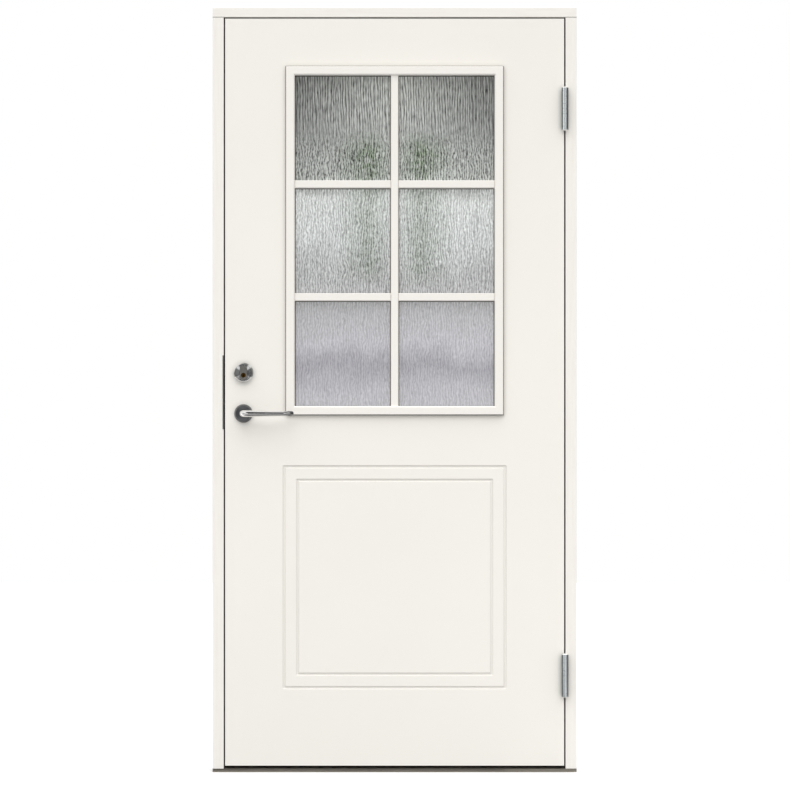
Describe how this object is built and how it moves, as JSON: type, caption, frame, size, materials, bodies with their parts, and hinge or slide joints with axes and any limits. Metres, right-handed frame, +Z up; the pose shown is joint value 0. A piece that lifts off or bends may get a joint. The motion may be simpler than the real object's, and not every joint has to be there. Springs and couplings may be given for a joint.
{
  "type": "panelled front door",
  "caption": "Outward opening white front door in its frame, with a glazed upper half split by bars, a routed square below, lever handle, cylinder lock and lift-off hinges.",
  "frame": {"origin": "centre of the underside of the threshold, in the middle of the frame's width and depth", "axes": "+Z up, +X to the right as seen from outside, +Y into the building"},
  "size_m": [0.99, 0.1765, 2.08],
  "materials": {
    "leaf_paint": "satin off-white paint on board",
    "frame_paint": "satin off-white paint on timber",
    "glazing_plastic": "satin off-white moulded plastic",
    "sill_timber": "oiled hardwood",
    "sill_metal": "brown-grey anodised",
    "seal_rubber": "matte extruded rubber",
    "core_timber": "planed softwood",
    "core_foam": "rigid foam",
    "patterned_glass": "rolled glass with upright streaks",
    "clear_glass": "clear float glass",
    "spacer_metal": "dark spacer profile",
    "block_plastic": "moulded plastic",
    "lever_steel": "satin stainless steel",
    "rose_steel": "dark turned steel",
    "ring_steel": "turned and plated",
    "hinge_steel": "zinc plated steel",
    "lock_steel": "bright steel",
    "strike_steel": "dull steel",
    "lock_brass": "machined",
    "plug_brass": "aged brass",
    "cap_plastic": "white moulded plastic"
  },
  "bodies": {
    "frame": {"head_jamb": "frame_paint", "lock_jamb": "frame_paint", "hinge_jamb": "frame_paint", "threshold": "sill_timber", "threshold_nosing": "sill_metal", "frame_seal": "seal_rubber", "strike_plate": "strike_steel", "strike_screws": "lock_steel", "frame_sleeves": "lock_steel", "upper_hinge_frame_leaf": "hinge_steel", "lower_hinge_frame_leaf": "hinge_steel", "hinge_pins": "lock_steel", "hinge_washers": "lock_brass", "frame_hinge_caps": "cap_plastic", "frame_hinge_screws": "lock_steel"},
    "leaf": {"outer_skin": "leaf_paint", "inner_skin": "leaf_paint", "lock_stile": "leaf_paint", "hinge_stile": "leaf_paint", "top_rail": "leaf_paint", "bottom_rail": "leaf_paint", "glazing_surround": "core_timber", "insulation_core": "core_foam", "outer_glazing_frame": "glazing_plastic", "inner_glazing_frame": "glazing_plastic", "outer_vertical_bar": "glazing_plastic", "inner_vertical_bar": "glazing_plastic", "outer_horizontal_bars": "glazing_plastic", "inner_horizontal_bars": "glazing_plastic", "outer_pane": "patterned_glass", "middle_pane": "clear_glass", "inner_pane": "clear_glass", "glass_spacers": "spacer_metal", "glazing_gaskets": "seal_rubber", "setting_blocks": "block_plastic", "lock_case": "lock_steel", "lock_cover": "lock_steel", "lock_forend": "lock_steel", "forend_screws": "lock_steel", "outside_rose": "rose_steel", "inside_rose": "rose_steel", "rose_bolts": "lock_steel", "cylinder_ring": "ring_steel", "cylinder_body": "ring_steel", "cylinder_bolt": "lock_steel", "thumbturn_rose": "rose_steel", "upper_hinge_door_leaf": "hinge_steel", "lower_hinge_door_leaf": "hinge_steel", "door_hinge_caps": "cap_plastic", "door_hinge_screws": "lock_steel", "latch_spring": "lock_steel"},
    "lever": {"outside_lever": "lever_steel", "inside_lever": "lever_steel", "spindle": "lock_steel", "lock_follower": "lock_brass"},
    "latch": {"latch_bolt": "lock_brass"},
    "deadbolt": {"deadbolt": "lock_steel"},
    "thumbturn": {"thumbturn": "lever_steel", "deadbolt_cam": "lock_brass"},
    "key_plug": {"key_plug": "plug_brass"}
  },
  "joints": [
    {"name": "leaf_swing", "type": "hinge", "parent": "frame", "child": "leaf", "pos_m": [0.463, -0.063, 1.034], "axis": [0, 0, 1], "range_deg": [0, 170]},
    {"name": "lever_turn", "type": "hinge", "parent": "leaf", "child": "lever", "pos_m": [-0.411, -0.0215, 0.976], "axis": [0, 1, 0], "range_deg": [0, 45], "stiffness_Nm_per_rad": 1.5, "springref_deg": -28.65},
    {"name": "latch_slide", "type": "slide", "parent": "leaf", "child": "latch", "axis": [1, 0, 0], "range_m": [0, 0.012], "deforming": ["latch_spring"]},
    {"name": "thumbturn_turn", "type": "hinge", "parent": "leaf", "child": "thumbturn", "pos_m": [-0.411, -0.0215, 1.08], "axis": [0, 1, 0], "range_deg": [0, 90]},
    {"name": "deadbolt_slide", "type": "slide", "parent": "leaf", "child": "deadbolt", "axis": [-1, 0, 0], "range_m": [0, 0.02]},
    {"name": "key_turn", "type": "hinge", "parent": "leaf", "child": "key_plug", "pos_m": [-0.411, -0.0525, 1.08], "axis": [0, 1, 0], "range_deg": [-90, 90]}
  ],
  "couplings": [
    {"joint": "latch_slide", "follows": "lever_turn", "m_per_rad": 0.015279},
    {"joint": "deadbolt_slide", "follows": "thumbturn_turn", "m_per_rad": 0.012732}
  ]
}
